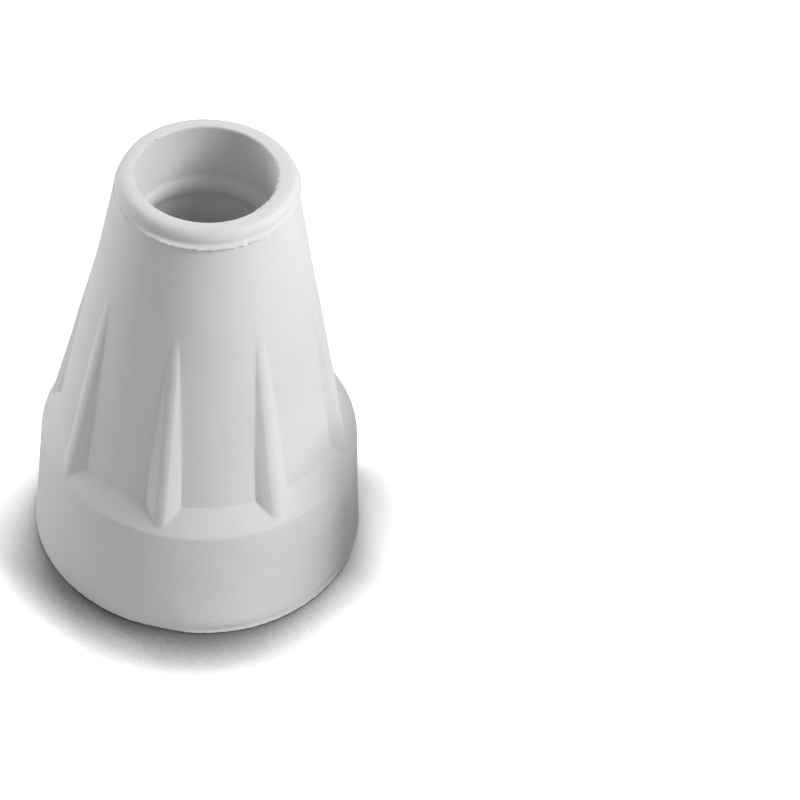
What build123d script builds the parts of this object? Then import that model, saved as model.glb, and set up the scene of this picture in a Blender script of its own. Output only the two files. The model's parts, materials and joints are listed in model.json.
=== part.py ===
from build123d import *
import os

# Moulded rubber cane tip, in millimetres. It stands on its rim, with the mouth of its socket up.

# Overall sizes
shaft_diameter = 19.0
overall_height = 65.0
base_diameter = 46.3

# Lip around the mouth, and the ledge under it with the line of flash where the mould parted
lip_wall = 2.4
lip_height = 1.9
lip_rounding = 1.4
mouth_rounding = 0.3
ledge_width = 0.7
ledge_fall = 0.25
flash_overhang = 0.35
flash_thickness = 0.15

# Band at the foot, and the steep shoulder between it and the cone
band_height = 17.6
band_draft = 0.95
shoulder_width = 2.6
shoulder_height = 3.7
shoulder_rounding = 1.1
shoulder_root_rounding = 0.5

# Ribs that run from the shoulder up the cone
rib_count = 8
rib_tip_drop = 13.9
rib_foot_inset = 0.65
rib_foot_width = 5.1
rib_crest_width = 1.5
rib_crest_rounding = 0.45
rib_root_depth = 1.0
rib_tip_run_out = 3.0

# Socket for the shaft, with one soft grip ring, over a thick floor
floor_thickness = 13.8
socket_floor_rounding = 1.0
grip_ring_depth = 8.9
grip_ring_height = 3.4
grip_ring_rise = 0.4

# Tread: a cupped rim around a raised ring and a centre disc
rim_width = 0.75
rim_bevel_width = 0.4
rim_bevel_height = 0.8
cup_depth = 4.0
cup_rounding = 0.6
tread_recess = 5.5
groove_depth = 2.7
groove_draft = 0.15
disc_diameter = 13.0
inner_groove_width = 3.15
tread_ring_width = 3.7
outer_groove_width = 3.5
tread_rounding = 0.4
groove_floor_rounding = 0.25

# Radii and heights that follow from the sizes
socket_radius = shaft_diameter / 2
lip_radius = socket_radius + lip_wall
lip_foot = overall_height - lip_height
ledge_radius = lip_radius + ledge_width
ledge_edge = lip_foot - ledge_fall
base_radius = base_diameter / 2
band_top_radius = base_radius - band_draft
cone_foot_radius = band_top_radius - shoulder_width
cone_foot = band_height + shoulder_height
cone_top_radius = ledge_radius - flash_overhang
cone_top = ledge_edge - flash_thickness
grip_ring_top = overall_height - grip_ring_depth
grip_ring_foot = grip_ring_top - grip_ring_height
rim_outer_radius = base_radius - rim_bevel_width
rim_inner_radius = rim_outer_radius - rim_width
disc_radius = disc_diameter / 2
ring_inner_radius = disc_radius + inner_groove_width
ring_outer_radius = ring_inner_radius + tread_ring_width
cup_inner_radius = ring_outer_radius + outer_groove_width
groove_floor = tread_recess + groove_depth
socket_floor = groove_floor + floor_thickness

# Outline of one side, from the axis across the tread, up the outside and down the socket.
# Each corner is its radius, its height and its rounding.
up_to_mouth = [
    (0, tread_recess, 0),
    (disc_radius, tread_recess, tread_rounding),
    (disc_radius + groove_draft, groove_floor, groove_floor_rounding),
    (ring_inner_radius - groove_draft, groove_floor, groove_floor_rounding),
    (ring_inner_radius, tread_recess, tread_rounding),
    (ring_outer_radius, tread_recess, tread_rounding),
    (ring_outer_radius + groove_draft, groove_floor, groove_floor_rounding),
    (cup_inner_radius - groove_draft, groove_floor, groove_floor_rounding),
    (cup_inner_radius, cup_depth, cup_rounding),
    (rim_inner_radius, 0, 0),
    (rim_outer_radius, 0, 0),
    (base_radius, rim_bevel_height, 0),
    (band_top_radius, band_height, shoulder_rounding),
    (cone_foot_radius, cone_foot, shoulder_root_rounding),
    (cone_top_radius, cone_top, 0),
    (ledge_radius, cone_top, 0),
    (ledge_radius, ledge_edge, 0),
    (lip_radius, lip_foot, 0),
    (lip_radius, overall_height, lip_rounding),
    (socket_radius, overall_height, mouth_rounding),
    (socket_radius, grip_ring_top, 0),
]
socket_below_ring = [
    (socket_radius, grip_ring_foot, 0),
    (socket_radius, socket_floor, socket_floor_rounding),
    (0, socket_floor, 0),
    (0, tread_recess, 0),
]

ring_start = up_to_mouth[-1]
ring_end = socket_below_ring[0]
ring_crest = (socket_radius - grip_ring_rise, (grip_ring_top + grip_ring_foot) / 2)
outline = Curve() + ThreePointArc(ring_start[:2], ring_crest, ring_end[:2])
for corners in (up_to_mouth, socket_below_ring):
    outline += Polyline(*[(radius, height) for radius, height, rounding in corners])
section = make_face(outline.edges())
for radius, height, rounding in up_to_mouth + socket_below_ring:
    if rounding > 0:
        corner = section.vertices().sort_by_distance(Vector(radius, height))[0]
        section = fillet(corner, rounding)
body = revolve(Plane.XZ * section, axis=Axis.Z)

# The crest of a rib is straight, from its foot on the shoulder to its tip on the cone.
crest_foot_rise = rib_foot_inset * shoulder_height / shoulder_width
crest_foot = Vector(band_top_radius - rib_foot_inset, 0, band_height + crest_foot_rise)
cone_slope = (cone_foot_radius - cone_top_radius) / (cone_top - cone_foot)
crest_tip = Vector(cone_top_radius + cone_slope * rib_tip_drop, 0, cone_top - rib_tip_drop)
crest_way = (crest_tip - crest_foot).normalized()

# Across the crest, a rib is a trapezium that has its full width where it meets the foot of the cone.
crest_slope = (crest_foot.X - crest_tip.X) / (crest_tip.Z - crest_foot.Z)
crest_rise = crest_foot.X - cone_foot_radius - crest_slope * (cone_foot - crest_foot.Z)
spread = (rib_foot_width - rib_crest_width) / 2 / crest_rise
rib_depth = crest_rise + rib_root_depth
inner_width = rib_crest_width + 2 * spread * rib_depth
rib_section = make_face(
    Polyline(
        (-rib_crest_width / 2, 0),
        (rib_crest_width / 2, 0),
        (inner_width / 2, rib_depth),
        (-inner_width / 2, rib_depth),
        close=True,
    ).edges()
)
rib_section = fillet(rib_section.vertices().sort_by(Axis.Y)[:2], rib_crest_rounding)

# Both ends of the rib are buried, the lower one at the height of the band.
foot_run_out = crest_foot_rise / crest_way.Z
rib_start = crest_foot - crest_way * foot_run_out
rib_length = foot_run_out + (crest_tip - crest_foot).length + rib_tip_run_out
rib_plane = Plane(origin=rib_start, x_dir=(0, 1, 0), z_dir=crest_way)
rib = extrude(rib_plane * rib_section, amount=rib_length)

ribs = [Rot(Z=360 / rib_count * number) * rib for number in range(rib_count)]
cane_tip = body + ribs

os.makedirs("parts", exist_ok=True)
export_step(cane_tip.solid(), "parts/cane_tip.step")
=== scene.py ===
import json
import math
from typing import NamedTuple

import bpy
import numpy as np
from bpy.props import FloatProperty, FloatVectorProperty, IntProperty, PointerProperty
from bpy.types import Operator, Panel, PropertyGroup
from mathutils import Matrix, Vector


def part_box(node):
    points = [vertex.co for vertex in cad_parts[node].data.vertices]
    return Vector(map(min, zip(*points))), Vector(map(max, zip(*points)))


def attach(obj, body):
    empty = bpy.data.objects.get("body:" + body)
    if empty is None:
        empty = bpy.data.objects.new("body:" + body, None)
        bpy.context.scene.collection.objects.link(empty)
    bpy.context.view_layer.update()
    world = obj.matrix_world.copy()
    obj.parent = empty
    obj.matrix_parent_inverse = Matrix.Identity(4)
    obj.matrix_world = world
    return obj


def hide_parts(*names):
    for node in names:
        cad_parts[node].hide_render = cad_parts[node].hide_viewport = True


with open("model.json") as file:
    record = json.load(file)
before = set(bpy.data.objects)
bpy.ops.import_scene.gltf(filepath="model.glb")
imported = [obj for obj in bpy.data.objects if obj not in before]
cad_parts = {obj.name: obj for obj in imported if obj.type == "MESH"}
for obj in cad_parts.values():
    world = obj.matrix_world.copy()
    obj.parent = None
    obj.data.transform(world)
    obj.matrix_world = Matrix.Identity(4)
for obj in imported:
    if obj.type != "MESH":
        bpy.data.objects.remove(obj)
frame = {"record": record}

bl_info = {
    "name": "Rubber cane tip",
    "version": (1, 0, 0),
    "blender": (4, 5, 0),
    "location": "3D View > Sidebar > Cane Tip",
    "description": "Models and lights a moulded rubber tip for the end of a cane",
    "category": "Add Mesh",
}

MM = 0.001
HAIR = 0.01 * MM  # too short to see, for telling which vertices lie on an edge
RIGHT_ANGLE = math.radians(90)
LOW_CORNER, HIGH_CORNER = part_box("cane_tip")
MOUNTS = {mount["name"]: mount for mount in frame["record"]["mounts"]}


def length(name, default, description):
    """A length that a user can change. The default is in metres."""
    return FloatProperty(
        name=name,
        description=description,
        default=default,
        min=0,
        precision=5,
        subtype="DISTANCE",
        unit="LENGTH",
    )


def turn(name, degrees, description):
    """An angle that a user can change. The default is in degrees."""
    return FloatProperty(
        name=name,
        description=description,
        default=math.radians(degrees),
        subtype="ANGLE",
        unit="ROTATION",
    )


def share(name, default, description):
    """A number from 0 to 1 that a user can change."""
    return FloatProperty(
        name=name,
        description=description,
        default=default,
        min=0,
        max=1,
        subtype="FACTOR",
    )


def colour(name, default, description):
    """A colour that a user can change."""
    return FloatVectorProperty(
        name=name,
        description=description,
        default=default,
        min=0,
        max=1,
        size=3,
        subtype="COLOR",
    )


# Sizes


class SleeveSizes(PropertyGroup):
    """Sizes of the sleeve, its socket and its foot."""

    height: length(
        "Height", HIGH_CORNER.z - LOW_CORNER.z, "From the floor to the top of the lip"
    )
    base_diameter: length("Base diameter", HIGH_CORNER.x - LOW_CORNER.x, "Across the foot")
    shaft_diameter: length(
        "Shaft diameter", 2 * MOUNTS["shaft_bore"]["dims"]["r_mm"] * MM, "Of the cane shaft"
    )
    lip_wall: length("Lip wall", 2.4 * MM, "Wall of the lip around the mouth")
    lip_height: length("Lip height", 1.9 * MM, "From the ledge to the top of the lip")
    lip_rounding: length("Lip rounding", 1.4 * MM, "Outer edge of the lip")
    mouth_rounding: length("Mouth rounding", 0.3 * MM, "Inner edge of the lip")
    lip_root: length("Lip root", 0.35 * MM, "Hollow between lip and ledge")
    ledge_width: length("Ledge width", 0.7 * MM, "Ledge under the lip")
    ledge_fall: length("Ledge fall", 0.25 * MM, "How far the ledge slopes down outwards")
    flash_overhang: length("Flash overhang", 0.35 * MM, "How far it stands out from the cone")
    flash_thickness: length("Flash thickness", 0.15 * MM, "Thickness of the flash")
    band_height: length("Band height", 17.6 * MM, "Height of the band at the foot")
    band_draft: length("Band draft", 0.95 * MM, "How much the band narrows to its top")
    shoulder_width: length("Shoulder width", 2.6 * MM, "From the band in to the foot of the cone")
    shoulder_height: length("Shoulder height", 3.7 * MM, "From the band up to the cone's foot")
    shoulder_rounding: length("Shoulder rounding", 1.1 * MM, "Edge between band and shoulder")
    root_rounding: length("Root rounding", 0.5 * MM, "Hollow between shoulder and cone")
    floor_thickness: length("Floor thickness", 13.8 * MM, "Rubber under the shaft")
    floor_rounding: length("Floor rounding", 1.0 * MM, "Corner of the socket's floor")
    ring_depth: length("Ring depth", 8.9 * MM, "From the mouth down to the grip ring")
    ring_height: length("Ring height", 3.4 * MM, "Height of the grip ring")
    ring_rise: length("Ring rise", 0.4 * MM, "How far the grip ring stands into the socket")


class RibSizes(PropertyGroup):
    """Sizes of the ribs on the cone."""

    count: IntProperty(name="Count", description="Ribs around the cone", default=8, min=3)
    tip_drop: length("Tip drop", 13.9 * MM, "From the top of the cone down to a rib's tip")
    foot_inset: length("Foot inset", 0.65 * MM, "From the shoulder's edge in to a rib's foot")
    foot_width: length("Foot width", 5.1 * MM, "Across a rib at the foot of the cone")
    crest_width: length("Crest width", 1.5 * MM, "Across the crest")
    crest_radius: length("Crest radius", 2.0 * MM, "Radius of the gently rounded crest")
    crest_softness: length("Crest softness", 0.06 * MM, "Rounds the edges of the crest")
    root_softness: length("Root softness", 0.22 * MM, "Rounds the hollow beside a rib's foot")
    tip_softness: share("Tip softness", 0.15, "Share of the root softness left at a rib's tip")


class TreadSizes(PropertyGroup):
    """Sizes of the tread under the foot."""

    rim_width: length("Rim width", 0.75 * MM, "Flat ring that the tip stands on")
    bevel_width: length("Bevel width", 0.4 * MM, "Bevel outside the rim")
    bevel_height: length("Bevel height", 0.25 * MM, "Bevel outside the rim")
    bead_height: length("Bead height", 0.65 * MM, "Height of the fine bead around the foot")
    bead_depth: length("Bead depth", 0.12 * MM, "Crease above the bead")
    cup_depth: length("Cup depth", 4.0 * MM, "Depth of the cupped rim")
    cup_rounding: length("Cup rounding", 0.6 * MM, "Inner edge of the cup")
    recess: length("Recess", 5.5 * MM, "From the floor up to the ring and the disc")
    groove_depth: length("Groove depth", 2.7 * MM, "Depth of both grooves")
    groove_draft: length("Groove draft", 0.15 * MM, "How far a groove's wall leans")
    disc_diameter: length("Disc diameter", 13.0 * MM, "Disc in the middle")
    inner_groove: length("Inner groove", 3.15 * MM, "Groove around the disc")
    ring_width: length("Ring width", 3.7 * MM, "Raised ring")
    outer_groove: length("Outer groove", 3.5 * MM, "Groove around the ring")
    edge_rounding: length("Edge rounding", 0.4 * MM, "Edges of the ring and the disc")
    groove_rounding: length("Groove rounding", 0.25 * MM, "Corners in the grooves")


class Moulding(PropertyGroup):
    """Marks that the mould left, and the fineness of the mesh."""

    columns: IntProperty(
        name="Columns",
        description="Columns of faces from one rib to the next",
        default=44,
        min=22,
    )
    smooth_angle: turn("Smooth angle", 50, "Edges flatter than this are shaded smooth")
    wave_depth: length("Wave depth", 0.12 * MM, "Unevenness of the rubber's surface")
    wave_size: length("Wave size", 9.0 * MM, "From one wave of the surface to the next")
    front: turn("Front", -86, "Side of the tip where the mould's marks show most")
    lip_swell: length("Lip swell", 0.4 * MM, "How much thicker the lip is on one side")
    lip_swell_side: turn("Lip swell side", 25, "Side of the tip where the lip is thicker")
    flash_fade: length("Flash fade", 0.3 * MM, "How much narrower the flash is to the sides")
    flash_tear: length("Flash tear", 0.11 * MM, "Raggedness of the flash under the lip")
    flash_sway: length("Flash sway", 0.25 * MM, "How much the flash's width varies")
    flash_sway_size: length("Flash sway size", 2.0 * MM, "From one sway of the flash to the next")
    mouth_tear: length("Mouth tear", 0.12 * MM, "Raggedness of the trimmed mouth")
    rim_tear: length("Rim tear", 0.03 * MM, "Raggedness of the rim's outer edge")
    foot_spread: length("Foot spread", 0.55 * MM, "How far the foot bulges on one side")
    foot_spread_height: length("Foot spread height", 8.0 * MM, "Height at which the bulge ends")
    foot_spread_side: turn("Foot spread side", -60, "Side of the tip where the foot bulges")


class RubberLook(PropertyGroup):
    """Colours and finish of the rubber."""

    pale: colour("Pale", (0.70, 0.70, 0.70), "Colour of the clean rubber")
    shaded: colour("Shaded", (0.68, 0.68, 0.68), "Colour of the mottling")
    speck: colour("Speck", (0.55, 0.55, 0.54), "Colour of the fine specks")
    speck_strength: share("Speck strength", 0.35, "How much the specks show")
    mottle_size: length("Mottle size", 5.0 * MM, "From one blotch to the next")
    grain_size: length("Grain size", 0.45 * MM, "Grain of the moulded skin")
    grain_depth: length("Grain depth", 0.03 * MM, "Height of the grain")
    grain_strength: share("Grain strength", 0.5, "How much the grain shows in the light")
    shine: share("Shine", 0.4, "Strength of the reflections")
    low_roughness: share("Low roughness", 0.46, "Roughness of the smoothest skin")
    high_roughness: share("High roughness", 0.62, "Roughness of the dullest skin")


class StageLook(PropertyGroup):
    """The floor, the lights and the camera."""

    distance: length("Camera distance", 576.6 * MM, "From the middle of the foot to the camera")
    azimuth: turn("Camera azimuth", -76.0, "Side of the tip that the camera is on")
    elevation: turn("Camera elevation", 46.49, "Height of the camera as an angle")
    pitch: turn("Camera pitch", 44.75, "How far the camera looks down")
    yaw: turn("Camera yaw", 4.02, "How far the camera looks to the right of the tip")
    roll: turn("Camera roll", 4.37, "Turn about the line of sight")
    lens: FloatProperty(name="Lens", description="Focal length", default=180, unit="CAMERA")
    sensor: FloatProperty(name="Sensor", description="Sensor width", default=36, unit="CAMERA")
    floor_radius: length("Floor radius", 1.5, "From the tip to the edge of the floor")
    floor_opening: length("Floor opening", 22.7 * MM, "Radius of the opening under the tip")
    floor_colour: colour("Floor colour", (0.68, 0.68, 0.68), "Colour that it throws on the tip")
    floor_white: FloatProperty(
        name="Floor white", description="Brightness of the floor to the camera", default=2.1, min=0
    )
    contact_width: length("Contact width", 18 * MM, "How far off the tip still shades the floor")
    contact_full: share("Contact full", 0.42, "Open sky at which the shade is darkest")
    contact_none: share("Contact none", 0.83, "Open sky at which the shade ends")
    contact_falloff: FloatProperty(
        name="Contact falloff", description="How fast the shade gets lighter", default=1.6, min=0
    )
    shade_side: turn("Shade side", 89, "Side of the tip with the least shade at its foot")
    shade_lean: turn("Shade lean", 60, "How much more shade the other side has")
    contact_shade: share("Contact shade", 0.062, "Brightness of the floor right at the foot")
    surround: FloatProperty(
        name="Surround", description="Light from all around", default=0.3, min=0
    )
    below: FloatProperty(
        name="Below", description="Light from under the floor, for the tread", default=0.8, min=0
    )
    key_side: turn("Key side", -1, "Side of the tip that the key light is on")
    key_height: turn("Key height", 40, "Height of the key light as an angle")
    key_size: length("Key size", 0.4, "Side of the square key light")
    key_power: FloatProperty(name="Key power", description="In watts", default=7.3, unit="POWER")
    fill_side: turn("Fill side", 159, "Side of the tip that the fill light is on")
    fill_height: turn("Fill height", 25, "Height of the fill light as an angle")
    fill_size: length("Fill size", 0.5, "Side of the square fill light")
    fill_power: FloatProperty(name="Fill power", description="In watts", default=4.4, unit="POWER")
    lamp_distance: length("Lamp distance", 0.9, "From the tip to either light")
    lamp_aim: length("Lamp aim", 30 * MM, "Height on the tip that both lights point at")
    flag_distance: length("Flag distance", 45 * MM, "From the tip to the flag beside it")
    flag_width: length("Flag width", 32 * MM, "Width of the flag")
    flag_foot: length("Flag foot", 15 * MM, "Height of the flag's lower edge")
    flag_top: length("Flag top", 41 * MM, "Height of the flag's upper edge")
    flag_shift: length("Flag shift", 5 * MM, "How far the flag is moved away from the camera")
    flag_colour: colour("Flag colour", (0.02, 0.02, 0.02), "Colour of the flag's felt")


# Outline


class Corner(NamedTuple):
    """A corner of the turned outline, with the cuts and the bulge of the stretch after it."""

    radius: float
    height: float
    rounding: float = 0
    cuts: int = 0
    bulge: float = 0


class Levels(NamedTuple):
    """Radii on the sleeve, and the heights that go with them."""

    base: float
    band_top: float
    cone_foot: float
    cone_foot_height: float
    cone_top: float
    cone_top_height: float
    ledge: float
    ledge_height: float
    lip: float
    lip_foot_height: float
    socket: float


def levels_of(sleeve):
    """The radii and heights that follow from the sizes of the sleeve."""
    base = sleeve.base_diameter / 2
    socket = sleeve.shaft_diameter / 2
    band_top = base - sleeve.band_draft
    lip = socket + sleeve.lip_wall
    ledge = lip + sleeve.ledge_width
    lip_foot_height = sleeve.height - sleeve.lip_height
    ledge_height = lip_foot_height - sleeve.ledge_fall
    return Levels(
        base=base,
        band_top=band_top,
        cone_foot=band_top - sleeve.shoulder_width,
        cone_foot_height=sleeve.band_height + sleeve.shoulder_height,
        cone_top=ledge - sleeve.flash_overhang,
        cone_top_height=ledge_height - sleeve.flash_thickness,
        ledge=ledge,
        ledge_height=ledge_height,
        lip=lip,
        lip_foot_height=lip_foot_height,
        socket=socket,
    )


def tread_corners(tread):
    """The tread, from the axis out to the flat rim."""
    recess = tread.recess
    floor = tread.recess + tread.groove_depth
    edge = tread.edge_rounding
    foot = tread.groove_rounding
    disc = tread.disc_diameter / 2
    ring_inside = disc + tread.inner_groove
    ring_outside = ring_inside + tread.ring_width
    cup = ring_outside + tread.outer_groove
    draft = tread.groove_draft
    return [
        Corner(0, recess, cuts=3),
        Corner(disc, recess, edge, cuts=1),
        Corner(disc + draft, floor, foot, cuts=1),
        Corner(ring_inside - draft, floor, foot, cuts=1),
        Corner(ring_inside, recess, edge, cuts=1),
        Corner(ring_outside, recess, edge, cuts=1),
        Corner(ring_outside + draft, floor, foot, cuts=1),
        Corner(cup - draft, floor, foot, cuts=1),
        Corner(cup, tread.cup_depth, tread.cup_rounding, cuts=8),
    ]


def outside_corners(sleeve, tread):
    """The rim, the band, the shoulder, the cone and the lip, up to the mouth."""
    at = levels_of(sleeve)
    rim = at.base - tread.bevel_width
    crease = tread.bevel_height + tread.bead_height
    return [
        Corner(rim - tread.rim_width, 0, cuts=1),
        Corner(rim, 0, cuts=1),
        Corner(at.base, tread.bevel_height, cuts=1),
        Corner(at.base - tread.bead_depth, crease),
        Corner(at.base - tread.bead_depth / 2, crease + tread.bead_depth, cuts=10),
        Corner(at.band_top, sleeve.band_height, sleeve.shoulder_rounding, cuts=9),
        Corner(at.cone_foot, at.cone_foot_height, sleeve.root_rounding, cuts=62),
        Corner(at.cone_top, at.cone_top_height, cuts=1),
        Corner(at.ledge, at.cone_top_height),
        Corner(at.ledge, at.ledge_height, cuts=2),
        Corner(at.lip, at.lip_foot_height, sleeve.lip_root, cuts=1),
        Corner(at.lip, sleeve.height, sleeve.lip_rounding, cuts=2),
        Corner(at.socket, sleeve.height, sleeve.mouth_rounding, cuts=12),
    ]


def socket_corners(sleeve, tread):
    """The socket, from its grip ring down to its floor."""
    socket = sleeve.shaft_diameter / 2
    ring_top = sleeve.height - sleeve.ring_depth
    ring_foot = ring_top - sleeve.ring_height
    floor = tread.recess + tread.groove_depth + sleeve.floor_thickness
    return [
        Corner(socket, ring_top, cuts=11, bulge=sleeve.ring_rise),
        Corner(socket, ring_foot, cuts=16),
        Corner(socket, floor, sleeve.floor_rounding, cuts=3),
        Corner(0, floor),
    ]


def rounded_corner(before, corner, after, segments=5):
    """Points of the arc that rounds a corner, or the corner itself where it is sharp."""
    place = Vector((corner.radius, corner.height))
    if not corner.rounding:
        return [place]
    back = (Vector((before.radius, before.height)) - place).normalized()
    ahead = (Vector((after.radius, after.height)) - place).normalized()
    half_angle = back.angle(ahead) / 2
    reach = corner.rounding / math.tan(half_angle)
    centre = place + (back + ahead).normalized() * corner.rounding / math.sin(half_angle)
    start = (place + back * reach - centre).normalized()
    end = (place + ahead * reach - centre).normalized()
    return [
        centre + start.slerp(end, step / segments).normalized() * corner.rounding
        for step in range(segments + 1)
    ]


def outline_points(corners):
    """The whole outline as points in the plane of radius and height."""
    points = [Vector((corners[0].radius, corners[0].height))]
    for before, corner, after in zip(corners, corners[1:], corners[2:] + corners[-1:]):
        arc = rounded_corner(before, corner, after)
        start = points[-1]
        stretch = arc[0] - start
        across = Vector((stretch.y, -stretch.x)).normalized()
        for cut in range(1, before.cuts + 1):
            way = cut / (before.cuts + 1)
            halfway = 4 * way * (1 - way)  # 1 in the middle of the stretch and 0 at its ends
            points.append(start + stretch * way + across * before.bulge * halfway)
        points.extend(arc)
    return points


# Modelling

# How the columns of half a rib and half the panel beside it are shared out between the crest,
# its edge, the side, the hollow at the root and the panel, from 0 to 1.
RIB_STOPS = np.array([0, 5, 8, 12, 16, 22]) / 22
PANEL_CROWDING = 1.5  # over 1, the columns of a panel crowd towards the rib


def direction(azimuth, elevation):
    """The unit vector that points to a side and a height, both as angles."""
    return Vector(
        (
            math.cos(elevation) * math.cos(azimuth),
            math.cos(elevation) * math.sin(azimuth),
            math.sin(elevation),
        )
    )


def clear_selection():
    """Nothing is selected, so that the next operator acts on what it makes."""
    if bpy.context.object and bpy.context.object.mode != "OBJECT":
        bpy.ops.object.mode_set(mode="OBJECT")
    bpy.ops.object.select_all(action="DESELECT")


def single_vertex(name, place):
    """A new piece that is one vertex at place, open in edit mode."""
    clear_selection()
    bpy.ops.mesh.primitive_plane_add(size=MM)
    piece = bpy.context.object
    piece.name = name
    piece.data.name = name
    bpy.ops.object.mode_set(mode="EDIT")
    bpy.ops.mesh.select_all(action="SELECT")
    bpy.ops.mesh.merge(type="CENTER")
    bpy.ops.transform.translate(value=place)
    return piece


def turn_on_axis(name, points, columns):
    """A closed piece turned about the upright axis from an outline that starts and ends on it."""
    piece = single_vertex(name, (points[0].x, 0, points[0].y))
    for start, end in zip(points, points[1:]):
        step = end - start
        bpy.ops.mesh.extrude_region_move(TRANSFORM_OT_translate={"value": (step.x, 0, step.y)})
    bpy.ops.mesh.select_all(action="SELECT")
    bpy.ops.mesh.spin(steps=columns, angle=math.tau, center=(0, 0, 0), axis=(0, 0, 1))
    bpy.ops.mesh.select_all(action="SELECT")
    bpy.ops.mesh.remove_doubles(threshold=HAIR / 5)
    bpy.ops.mesh.normals_make_consistent(inside=False)
    bpy.ops.object.mode_set(mode="OBJECT")
    return piece


def read_places(piece):
    """The places of a piece's vertices, one row each."""
    places = np.empty(len(piece.data.vertices) * 3)
    piece.data.vertices.foreach_get("co", places)
    return places.reshape(-1, 3)


def write_places(piece, places):
    """Moves a piece's vertices to new places."""
    piece.data.vertices.foreach_set("co", places.ravel())
    piece.data.update()


def around_axis(places):
    """The radius, the angle and the height of each place."""
    radius = np.hypot(places[:, 0], places[:, 1])
    angle = np.arctan2(places[:, 1], places[:, 0])
    return radius, angle, places[:, 2]


def push_out(piece, change):
    """Moves each vertex away from the axis by its own change of radius."""
    places = read_places(piece)
    radius, _, _ = around_axis(places)
    places[:, :2] *= (1 + change / np.maximum(radius, MM))[:, None]
    write_places(piece, places)


def mark(piece, name, weights):
    """A vertex group with a weight from 0 to 1 for each vertex."""
    group = piece.vertex_groups.new(name=name)
    for index in np.flatnonzero(weights).tolist():
        group.add([index], float(weights[index]), "REPLACE")


def soft_max(first, second, softness):
    """The larger of two heights, with a hollow of that softness where they cross."""
    overlap = np.maximum(softness - np.abs(first - second), 0) / softness
    return np.maximum(first, second) + overlap * overlap * softness / 4


def fade(value, start, end):
    """From 0 at start to 1 at end, with soft ends."""
    way = np.clip((value - start) / (end - start), 0, 1)
    return way * way * (3 - 2 * way)


def place_across(column, across):
    """How far each vertex stands aside from the middle of its rib, going by its column."""
    aside = np.zeros_like(column)
    for low, high, low_stop, high_stop in zip(across, across[1:], RIB_STOPS, RIB_STOPS[1:]):
        inside = (column >= low_stop) & (column <= high_stop)
        way = np.clip((column - low_stop) / (high_stop - low_stop), 0, 1)
        if high_stop == RIB_STOPS[-1]:
            way = way**PANEL_CROWDING
        aside = np.where(inside, low + (high - low) * way, aside)
    return aside


def raise_ribs(piece, sleeve, ribs):
    """Raises the ribs from the shoulder and the cone, along columns that follow their edges."""
    places = read_places(piece)
    radius, angle, height = around_axis(places)
    at = levels_of(sleeve)

    # The straight crest, from its foot on the shoulder to its tip on the cone.
    shoulder_slope = sleeve.shoulder_height / sleeve.shoulder_width
    cone_slope = (at.cone_foot - at.cone_top) / (at.cone_top_height - at.cone_foot_height)
    foot = at.band_top - ribs.foot_inset
    foot_height = sleeve.band_height + ribs.foot_inset * shoulder_slope
    tip = at.cone_top + cone_slope * ribs.tip_drop
    tip_height = at.cone_top_height - ribs.tip_drop
    crest_slope = (foot - tip) / (tip_height - foot_height)
    crest = foot - crest_slope * (height - foot_height)
    rise = np.maximum(crest - radius, 0)
    full_rise = foot - crest_slope * (at.cone_foot_height - foot_height) - at.cone_foot

    # Across the crest, a rib is gently rounded, and its sides lean out to its full width.
    half_crest = ribs.crest_width / 2
    crest_drop = half_crest * half_crest / 2 / ribs.crest_radius
    spread = (ribs.foot_width - ribs.crest_width) / 2 / (full_rise - crest_drop)
    softness = ribs.tip_softness + (1 - ribs.tip_softness) * np.clip(rise / full_rise, 0, 1)
    root_softness = ribs.root_softness * softness

    # Each column keeps its place across a rib from the foot up, and no two of them cross, not
    # even at the tip, where a rib is narrower than its own edges.
    half_step = math.pi / ribs.count
    middle = np.round(angle / (2 * half_step)) * 2 * half_step
    offset = angle - middle
    edge = ribs.crest_softness * spread
    root = half_crest + spread * np.maximum(rise - crest_drop, 0)
    hollow = root_softness * spread / 2
    across = [
        np.zeros_like(root),
        np.full_like(root, half_crest - edge),
        np.full_like(root, half_crest + edge),
        np.maximum(root - hollow, half_crest + edge * 1.5),
        np.maximum(root + hollow, half_crest + edge * 2),
        half_step * radius,
    ]
    ribbed = place_across(np.abs(offset) / half_step, across) / np.maximum(radius, MM)

    # On the band and on the bare top of the cone, the columns spread out evenly again.
    even_below, even_above = 8 * MM, 5 * MM
    near_ribs = fade(height, sleeve.band_height - even_below, sleeve.band_height - MM)
    near_ribs *= 1 - fade(height, tip_height - MM, tip_height + even_above)
    turned = np.sign(offset) * (near_ribs * ribbed + (1 - near_ribs) * np.abs(offset))

    # Below the shoulder the crest dives under the skin of the band.
    crest = crest - np.maximum(sleeve.band_height - height, 0)
    aside = np.abs(turned) * radius
    crown = crest - aside * aside / 2 / ribs.crest_radius
    side = crest - crest_drop - (aside - half_crest) / spread
    rib = -soft_max(-crown, -side, ribs.crest_softness) / np.cos(turned)
    raised = soft_max(radius, rib, root_softness)

    # Only the skin outside moves, between the lower half of the band and the flash.
    outside = (height > sleeve.band_height / 2) & (height < at.cone_top_height - MM)
    outside &= radius > at.cone_top - MM / 2
    angle = np.where(outside, middle + turned, angle)
    radius = np.where(outside, raised, radius)
    places[:, 0] = radius * np.cos(angle)
    places[:, 1] = radius * np.sin(angle)
    write_places(piece, places)


def uneven(piece, name, group, depth, size):
    """Pushes the vertices of a group in and out by a gentle noise."""
    texture = bpy.data.textures.new(name, "CLOUDS")
    texture.noise_scale = size
    texture.noise_depth = 1
    modifier = piece.modifiers.new(name, "DISPLACE")
    modifier.texture = texture
    modifier.texture_coords = "LOCAL"
    modifier.strength = depth
    modifier.mid_level = 0.5
    modifier.vertex_group = group
    bpy.ops.object.modifier_apply(modifier=name)


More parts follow.
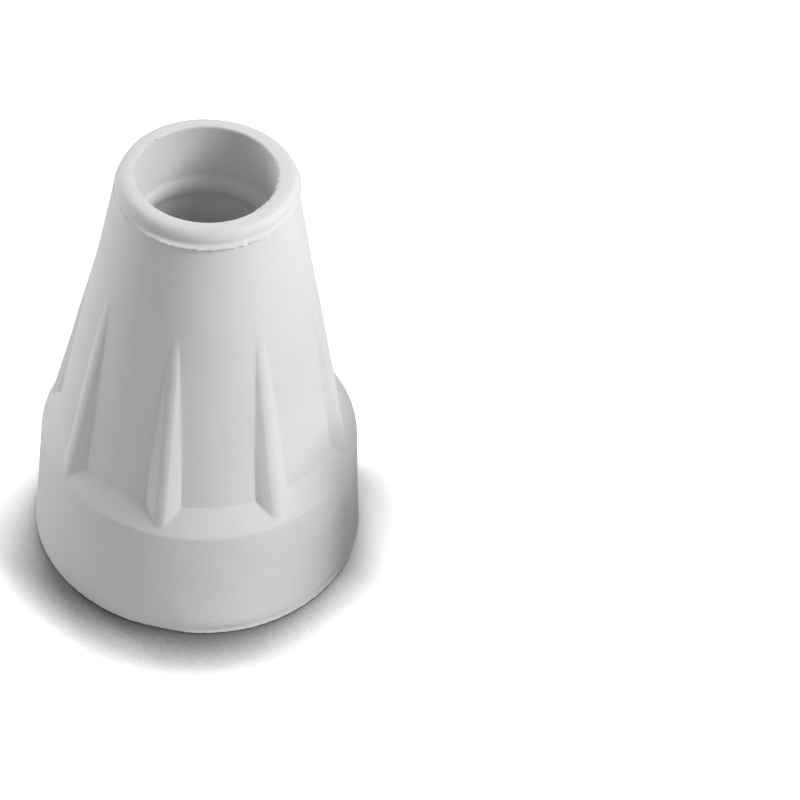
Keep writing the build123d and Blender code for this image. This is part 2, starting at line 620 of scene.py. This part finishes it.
def tear(piece, group, amount, seed):
    """Makes the edge in a group ragged."""
    bpy.ops.object.mode_set(mode="EDIT")
    bpy.ops.mesh.select_all(action="DESELECT")
    piece.vertex_groups.active_index = piece.vertex_groups[group].index
    bpy.ops.object.vertex_group_select()
    bpy.ops.transform.vertex_random(offset=amount, uniform=0.6, normal=0.3, seed=seed)
    bpy.ops.mesh.select_all(action="DESELECT")
    bpy.ops.object.mode_set(mode="OBJECT")


def shape_lip(piece, sleeve, moulding):
    """Thickens the lip on one side and draws in the ledge under it to both sides of the front."""
    radius, angle, height = around_axis(read_places(piece))
    at = levels_of(sleeve)
    above_foot = height - at.lip_foot_height

    # The thicker side starts within the wall and just under the lip, with soft ends.
    thick = np.maximum(np.cos(angle - moulding.lip_swell_side), 0) ** 2
    swell_start, swell_full = at.lip - 0.7 * sleeve.lip_wall, at.lip - 0.2 * sleeve.lip_wall
    thick *= fade(radius, swell_start, swell_full)
    swell_foot, swell_top = -1.5 * MM, -0.4 * MM
    thick *= fade(above_foot, swell_foot, swell_top)

    # The ledge is drawn in together with its flash and the edge of the cone under them.
    thin = np.sin(angle - moulding.front) ** 2
    ledge_depth = 0.6 * MM
    thin *= (above_foot > -ledge_depth) & (above_foot < HAIR)
    thin *= np.clip((radius - at.lip) / sleeve.ledge_width, 0, 1)
    push_out(piece, moulding.lip_swell * thick - moulding.flash_fade * thin)


def spread_foot(piece, sleeve, tread, moulding):
    """Bulges the foot a little on one side and fills the crease over the bead on the left."""
    radius, angle, height = around_axis(read_places(piece))
    base = levels_of(sleeve).base
    inside, skin = base - 3 * MM, base - MM / 2
    outward = fade(radius, inside, skin)
    sideways = np.maximum(np.cos(angle - moulding.foot_spread_side), 0) ** 4
    downward = 1 - fade(height, 0, moulding.foot_spread_height)
    bulge = moulding.foot_spread * sideways * downward

    # The fill is as thick as the crease is deep, and thins out over twice that height.
    over_bead = height - tread.bevel_height - tread.bead_height
    in_crease = np.clip(1 - over_bead / (2 * tread.bead_depth), 0, 1) * (over_bead > -HAIR)
    fill_start, fill_full = 0.1, 0.5
    left = fade(np.sin(moulding.front - angle), fill_start, fill_full)
    fill = tread.bead_depth * in_crease * left
    push_out(piece, outward * (bulge + fill))


def keep_in_mould(piece):
    """Presses every vertex back inside the box of the moulded solid."""
    write_places(piece, np.clip(read_places(piece), LOW_CORNER, HIGH_CORNER))


def mark_edges(piece, sleeve, tread, moulding):
    """Vertex groups of the edges that the mould or the trimming knife left ragged."""
    radius, angle, height = around_axis(read_places(piece))
    at = levels_of(sleeve)
    frontward = np.cos(angle - moulding.front)
    sideways = np.abs(np.sin(angle - moulding.front))

    # The flash is ragged at the front, and less and less to the sides.
    flash_end, flash_full = 0.1, 0.6
    on_flash = np.abs(radius - at.ledge) < 2 * HAIR
    on_flash &= height > at.ledge_height - 2 * sleeve.flash_thickness
    mark(piece, "flash", on_flash * fade(frontward, flash_end, flash_full))

    # The mouth is ragged on its left and its right, on the rounding of its edge.
    mouth_sides = 0.8
    on_mouth = radius < at.socket + 0.7 * sleeve.mouth_rounding
    on_mouth &= height > sleeve.height - 0.9 * sleeve.mouth_rounding
    mark(piece, "mouth", on_mouth & (sideways > mouth_sides))

    mark(piece, "rim", np.abs(height - tread.bevel_height) < 2 * HAIR)
    skin = height > tread.bevel_height + tread.bead_height
    mark(piece, "skin", skin & (radius > at.socket + sleeve.lip_wall / 2))


# Materials


def add_node(tree, kind, place, **settings):
    """A node at a place on the sheet. A setting is one of its own, or the value of a socket."""
    node = tree.nodes.new(kind)
    node.location = (place[0] * 200, place[1] * 200)
    for name, value in settings.items():
        if hasattr(node, name):
            setattr(node, name, value)
        else:
            node.inputs[name.replace("_", " ").title()].default_value = value
    return node


def skin_group():
    """Blotches, grain and specks of a moulded rubber skin, on Object coordinates."""
    blotch_range = (0.32, 0.68)  # of the noise, which seldom leaves it
    speck_range = (0.1, 0.04)  # from a speck's edge to its middle
    specks_per_grain = 0.22
    group = bpy.data.node_groups.new("moulded_skin", "ShaderNodeTree")
    for name in ("Mottle Size", "Grain Size"):
        group.interface.new_socket(name, in_out="INPUT", socket_type="NodeSocketFloat")
    for name in ("Mottle", "Grain", "Specks"):
        group.interface.new_socket(name, in_out="OUTPUT", socket_type="NodeSocketFloat")
    enter = add_node(group, "NodeGroupInput", (0, 0))
    leave = add_node(group, "NodeGroupOutput", (6, 0))
    where = add_node(group, "ShaderNodeTexCoord", (0, 2))
    link = group.links.new

    def scale_of(size, row):
        """A texture's scale, which is 1 over the size of its pattern."""
        scale = add_node(group, "ShaderNodeMath", (1, row), operation="DIVIDE")
        scale.inputs[0].default_value = 1
        link(size, scale.inputs[1])
        return scale.outputs[0]

    mottle = add_node(
        group, "ShaderNodeTexNoise", (2, 2), detail=3.0, roughness=0.55, distortion=0.6
    )
    link(where.outputs["Object"], mottle.inputs["Vector"])
    link(scale_of(enter.outputs["Mottle Size"], 2), mottle.inputs["Scale"])
    blotches = add_node(group, "ShaderNodeMapRange", (3, 2))
    blotches.inputs["From Min"].default_value = blotch_range[0]
    blotches.inputs["From Max"].default_value = blotch_range[1]
    link(mottle.outputs["Fac"], blotches.inputs["Value"])
    link(blotches.outputs["Result"], leave.inputs["Mottle"])

    grain_scale = scale_of(enter.outputs["Grain Size"], 0)
    grain = add_node(group, "ShaderNodeTexNoise", (2, 0), detail=4.0, roughness=0.6)
    link(where.outputs["Object"], grain.inputs["Vector"])
    link(grain_scale, grain.inputs["Scale"])
    link(grain.outputs["Fac"], leave.inputs["Grain"])

    specks = add_node(group, "ShaderNodeTexVoronoi", (2, -2))
    link(where.outputs["Object"], specks.inputs["Vector"])
    wide = add_node(group, "ShaderNodeMath", (1, -2), operation="MULTIPLY")
    wide.inputs[1].default_value = specks_per_grain
    link(grain_scale, wide.inputs[0])
    link(wide.outputs[0], specks.inputs["Scale"])
    dots = add_node(group, "ShaderNodeMapRange", (3, -2))
    dots.inputs["From Min"].default_value = speck_range[0]
    dots.inputs["From Max"].default_value = speck_range[1]
    link(specks.outputs["Distance"], dots.inputs["Value"])
    link(dots.outputs["Result"], leave.inputs["Specks"])
    return group


def rubber(look):
    """Pale matt moulded rubber."""
    material = bpy.data.materials.new("pale_rubber")
    material.use_nodes = True
    tree = material.node_tree
    link = tree.links.new
    shader = tree.nodes["Principled BSDF"]
    shader.inputs["Specular IOR Level"].default_value = look.shine

    skin = add_node(tree, "ShaderNodeGroup", (-5, 0))
    skin.node_tree = skin_group()
    skin.inputs["Mottle Size"].default_value = look.mottle_size
    skin.inputs["Grain Size"].default_value = look.grain_size

    blotched = add_node(tree, "ShaderNodeMix", (-3, 2), data_type="RGBA")
    blotched.inputs["A"].default_value = (*look.pale, 1)
    blotched.inputs["B"].default_value = (*look.shaded, 1)
    link(skin.outputs["Mottle"], blotched.inputs["Factor"])
    specked = add_node(tree, "ShaderNodeMix", (-2, 2), data_type="RGBA")
    specked.inputs["B"].default_value = (*look.speck, 1)
    faint = add_node(tree, "ShaderNodeMath", (-3, 1), operation="MULTIPLY")
    faint.inputs[1].default_value = look.speck_strength
    link(skin.outputs["Specks"], faint.inputs[0])
    link(faint.outputs[0], specked.inputs["Factor"])
    link(blotched.outputs["Result"], specked.inputs["A"])
    link(specked.outputs["Result"], shader.inputs["Base Color"])

    dull = add_node(tree, "ShaderNodeMapRange", (-3, 0))
    dull.inputs["To Min"].default_value = look.low_roughness
    dull.inputs["To Max"].default_value = look.high_roughness
    link(skin.outputs["Grain"], dull.inputs["Value"])
    link(dull.outputs["Result"], shader.inputs["Roughness"])

    bump = add_node(tree, "ShaderNodeBump", (-2, -2))
    bump.inputs["Strength"].default_value = look.grain_strength
    bump.inputs["Distance"].default_value = look.grain_depth
    link(skin.outputs["Grain"], bump.inputs["Height"])
    link(bump.outputs["Normal"], shader.inputs["Normal"])
    return material


def floor_material(stage):
    """A pale floor that looks white from above, keeps the tip's shadow and is clear from below."""
    material = bpy.data.materials.new("pale_floor")
    material.use_nodes = True
    tree = material.node_tree
    link = tree.links.new
    tree.nodes.remove(tree.nodes["Principled BSDF"])
    surface = add_node(tree, "ShaderNodeBsdfDiffuse", (-2, 0))
    seen = add_node(tree, "ShaderNodeLightPath", (-4, 2))
    tone = add_node(tree, "ShaderNodeMix", (-3, 0), data_type="RGBA")
    tone.inputs["A"].default_value = (*stage.floor_colour, 1)
    link(seen.outputs["Is Camera Ray"], tone.inputs["Factor"])

    # The open sky that the floor sees beside the tip, looking aside rather than straight up.
    aside = direction(stage.shade_side, RIGHT_ANGLE - stage.shade_lean)
    lean = add_node(tree, "ShaderNodeCombineXYZ", (-8, -1), x=aside.x, y=aside.y, z=aside.z)
    contact = add_node(tree, "ShaderNodeAmbientOcclusion", (-7, -1), samples=16)
    link(lean.outputs["Vector"], contact.inputs["Normal"])
    contact.inputs["Distance"].default_value = stage.contact_width
    open_sky = add_node(tree, "ShaderNodeMapRange", (-6, -1))
    open_sky.inputs["From Min"].default_value = stage.contact_full
    open_sky.inputs["From Max"].default_value = stage.contact_none
    link(contact.outputs["AO"], open_sky.inputs["Value"])
    falloff = add_node(tree, "ShaderNodeMath", (-5, -1), operation="POWER")
    falloff.inputs[1].default_value = stage.contact_falloff
    link(open_sky.outputs["Result"], falloff.inputs[0])
    shade = add_node(tree, "ShaderNodeMapRange", (-4, -1))
    shade.inputs["To Min"].default_value = stage.floor_white * stage.contact_shade
    shade.inputs["To Max"].default_value = stage.floor_white
    link(falloff.outputs[0], shade.inputs["Value"])
    link(shade.outputs["Result"], tone.inputs["B"])
    link(tone.outputs["Result"], surface.inputs["Color"])

    # From below, the floor isn't there.
    under = add_node(tree, "ShaderNodeNewGeometry", (-2, 2))
    clear = add_node(tree, "ShaderNodeBsdfTransparent", (-2, -1))
    one_sided = add_node(tree, "ShaderNodeMixShader", (-1, 0))
    link(under.outputs["Backfacing"], one_sided.inputs["Fac"])
    link(surface.outputs["BSDF"], one_sided.inputs[1])
    link(clear.outputs["BSDF"], one_sided.inputs[2])
    link(one_sided.outputs["Shader"], tree.nodes["Material Output"].inputs["Surface"])
    return material


# Stage


def open_floor(stage):
    """A round floor, open under the tip, so that light reaches the tread when seen from below."""
    clear_selection()
    bpy.ops.mesh.primitive_circle_add(vertices=96, radius=stage.floor_opening)
    floor = bpy.context.object
    floor.name = "floor"
    outward = stage.floor_radius / stage.floor_opening
    bpy.ops.object.mode_set(mode="EDIT")
    bpy.ops.mesh.extrude_edges_move()
    bpy.ops.transform.resize(value=(outward, outward, 1))
    bpy.ops.mesh.select_all(action="SELECT")
    bpy.ops.mesh.flip_normals()
    bpy.ops.object.mode_set(mode="OBJECT")
    floor.data.materials.append(floor_material(stage))


def soft_lamp(name, stage, side, height, size, power):
    """A square soft light that points at the middle of the tip."""
    way = direction(side, height)
    clear_selection()
    bpy.ops.object.light_add(
        type="AREA", location=Vector((0, 0, stage.lamp_aim)) + way * stage.lamp_distance
    )
    lamp = bpy.context.object
    lamp.name = name
    lamp.data.shape = "RECTANGLE"
    lamp.data.size = lamp.data.size_y = size
    lamp.data.energy = power
    lamp.rotation_euler = way.to_track_quat("Z", "Y").to_euler()


def shade_band(stage):
    """A dark flag, unseen, that keeps some of the key light off the band on that side."""
    clear_selection()
    bpy.ops.mesh.primitive_plane_add(size=1)
    flag = bpy.context.object
    flag.name = "flag"
    bpy.ops.object.mode_set(mode="EDIT")
    bpy.ops.transform.resize(value=(stage.flag_width, stage.flag_top - stage.flag_foot, 1))
    bpy.ops.object.mode_set(mode="OBJECT")
    flag.matrix_world = (
        Matrix.Rotation(stage.key_side, 4, "Z")
        @ Matrix.Translation(
            (stage.flag_distance, stage.flag_shift, (stage.flag_foot + stage.flag_top) / 2)
        )
        @ Matrix.Rotation(RIGHT_ANGLE, 4, "Z")
        @ Matrix.Rotation(RIGHT_ANGLE, 4, "X")
    )
    flag.visible_camera = False
    material = bpy.data.materials.new("dark_felt")
    material.use_nodes = True
    shader = material.node_tree.nodes["Principled BSDF"]
    shader.inputs["Base Color"].default_value = (*stage.flag_colour, 1)
    flag.data.materials.append(material)


def surround_light(stage):
    """Even light from above and from below, where the camera sees white."""
    world = bpy.data.worlds.new("surround")
    bpy.context.scene.world = world
    world.use_nodes = True
    tree = world.node_tree
    link = tree.links.new
    background = tree.nodes["Background"]
    background.inputs["Color"].default_value = (1, 1, 1, 1)

    # The light from below the horizon is another than the light from above it.
    way = add_node(tree, "ShaderNodeTexCoord", (-6, -1))
    parts = add_node(tree, "ShaderNodeSeparateXYZ", (-5, -1))
    link(way.outputs["Generated"], parts.inputs["Vector"])
    downward = add_node(tree, "ShaderNodeMath", (-4, -1), operation="LESS_THAN")
    downward.inputs[1].default_value = 0
    link(parts.outputs["Z"], downward.inputs[0])
    lit = add_node(tree, "ShaderNodeMix", (-3, -1), data_type="FLOAT")
    lit.inputs["A"].default_value = stage.surround
    lit.inputs["B"].default_value = stage.below
    link(downward.outputs[0], lit.inputs["Factor"])

    seen = add_node(tree, "ShaderNodeLightPath", (-3, 1))
    level = add_node(tree, "ShaderNodeMix", (-2, 0), data_type="FLOAT")
    level.inputs["B"].default_value = 1
    link(seen.outputs["Is Camera Ray"], level.inputs["Factor"])
    link(lit.outputs["Result"], level.inputs["A"])
    link(level.outputs["Result"], background.inputs["Strength"])


def place_camera(stage):
    """The camera, at the photograph's angle."""
    heading = stage.azimuth + RIGHT_ANGLE - stage.yaw
    clear_selection()
    bpy.ops.object.camera_add()
    camera = bpy.context.object
    camera.name = "camera"
    camera.data.lens = stage.lens
    camera.data.sensor_width = stage.sensor
    camera.data.clip_start = 10 * MM
    camera.matrix_world = (
        Matrix.Translation(direction(stage.azimuth, stage.elevation) * stage.distance)
        @ Matrix.Rotation(heading, 4, "Z")
        @ Matrix.Rotation(RIGHT_ANGLE - stage.pitch, 4, "X")
        @ Matrix.Rotation(stage.roll, 4, "Z")
    )
    bpy.context.scene.camera = camera


# Operators


class CANETIP_OT_tip(Operator):
    """Models the rubber tip in one piece and gives it its rubber"""

    bl_idname = "cane_tip.model_tip"
    bl_label = "Model the Tip"

    def execute(self, context):
        scene = context.scene
        sleeve = scene.cane_tip_sleeve
        tread = scene.cane_tip_tread
        ribs = scene.cane_tip_ribs
        moulding = scene.cane_tip_moulding
        corners = tread_corners(tread)
        corners += outside_corners(sleeve, tread)
        corners += socket_corners(sleeve, tread)
        tip = turn_on_axis("rubber_tip", outline_points(corners), ribs.count * moulding.columns)
        raise_ribs(tip, sleeve, ribs)
        mark_edges(tip, sleeve, tread, moulding)
        shape_lip(tip, sleeve, moulding)
        uneven(tip, "waves", "skin", moulding.wave_depth, moulding.wave_size)
        uneven(tip, "flash_sway", "flash", moulding.flash_sway, moulding.flash_sway_size)
        tear(tip, "flash", moulding.flash_tear, seed=3)
        tear(tip, "mouth", moulding.mouth_tear, seed=5)
        tear(tip, "rim", moulding.rim_tear, seed=7)
        spread_foot(tip, sleeve, tread, moulding)
        keep_in_mould(tip)
        bpy.ops.object.shade_smooth_by_angle(angle=moulding.smooth_angle)
        tip.data.materials.append(rubber(scene.cane_tip_rubber))
        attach(tip, "root")
        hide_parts("cane_tip")
        return {"FINISHED"}


class CANETIP_OT_stage(Operator):
    """Adds the floor, the lights and the camera"""

    bl_idname = "cane_tip.set_stage"
    bl_label = "Set the Stage"

    def execute(self, context):
        stage = context.scene.cane_tip_stage
        open_floor(stage)
        soft_lamp("key", stage, stage.key_side, stage.key_height, stage.key_size, stage.key_power)
        soft_lamp(
            "fill", stage, stage.fill_side, stage.fill_height, stage.fill_size, stage.fill_power
        )
        shade_band(stage)
        surround_light(stage)
        place_camera(stage)
        context.scene.view_settings.view_transform = "Standard"
        return {"FINISHED"}


class CANETIP_PT_tip(Panel):
    """Sizes, finish and stage of the cane tip"""

    bl_idname = "CANETIP_PT_tip"
    bl_label = "Cane Tip"
    bl_space_type = "VIEW_3D"
    bl_region_type = "UI"
    bl_category = "Cane Tip"

    def draw(self, context):
        for name, group in SETTINGS.items():
            box = self.layout.box()
            box.label(text=group.__doc__)
            settings = getattr(context.scene, name)
            for key in group.__annotations__:
                box.prop(settings, key)
        for operator in (CANETIP_OT_tip, CANETIP_OT_stage):
            self.layout.operator(operator.bl_idname)


SETTINGS = {
    "cane_tip_sleeve": SleeveSizes,
    "cane_tip_ribs": RibSizes,
    "cane_tip_tread": TreadSizes,
    "cane_tip_moulding": Moulding,
    "cane_tip_rubber": RubberLook,
    "cane_tip_stage": StageLook,
}
CLASSES = (*SETTINGS.values(), CANETIP_OT_tip, CANETIP_OT_stage, CANETIP_PT_tip)


def register():
    for item in CLASSES:
        bpy.utils.register_class(item)
    for name, group in SETTINGS.items():
        setattr(bpy.types.Scene, name, PointerProperty(type=group))


def unregister():
    for name in SETTINGS:
        delattr(bpy.types.Scene, name)
    for item in reversed(CLASSES):
        bpy.utils.unregister_class(item)


def main():
    """Models the tip and sets the stage."""
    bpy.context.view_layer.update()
    register()
    bpy.ops.cane_tip.model_tip()
    bpy.ops.cane_tip.set_stage()


if __name__ == "__main__":
    main()
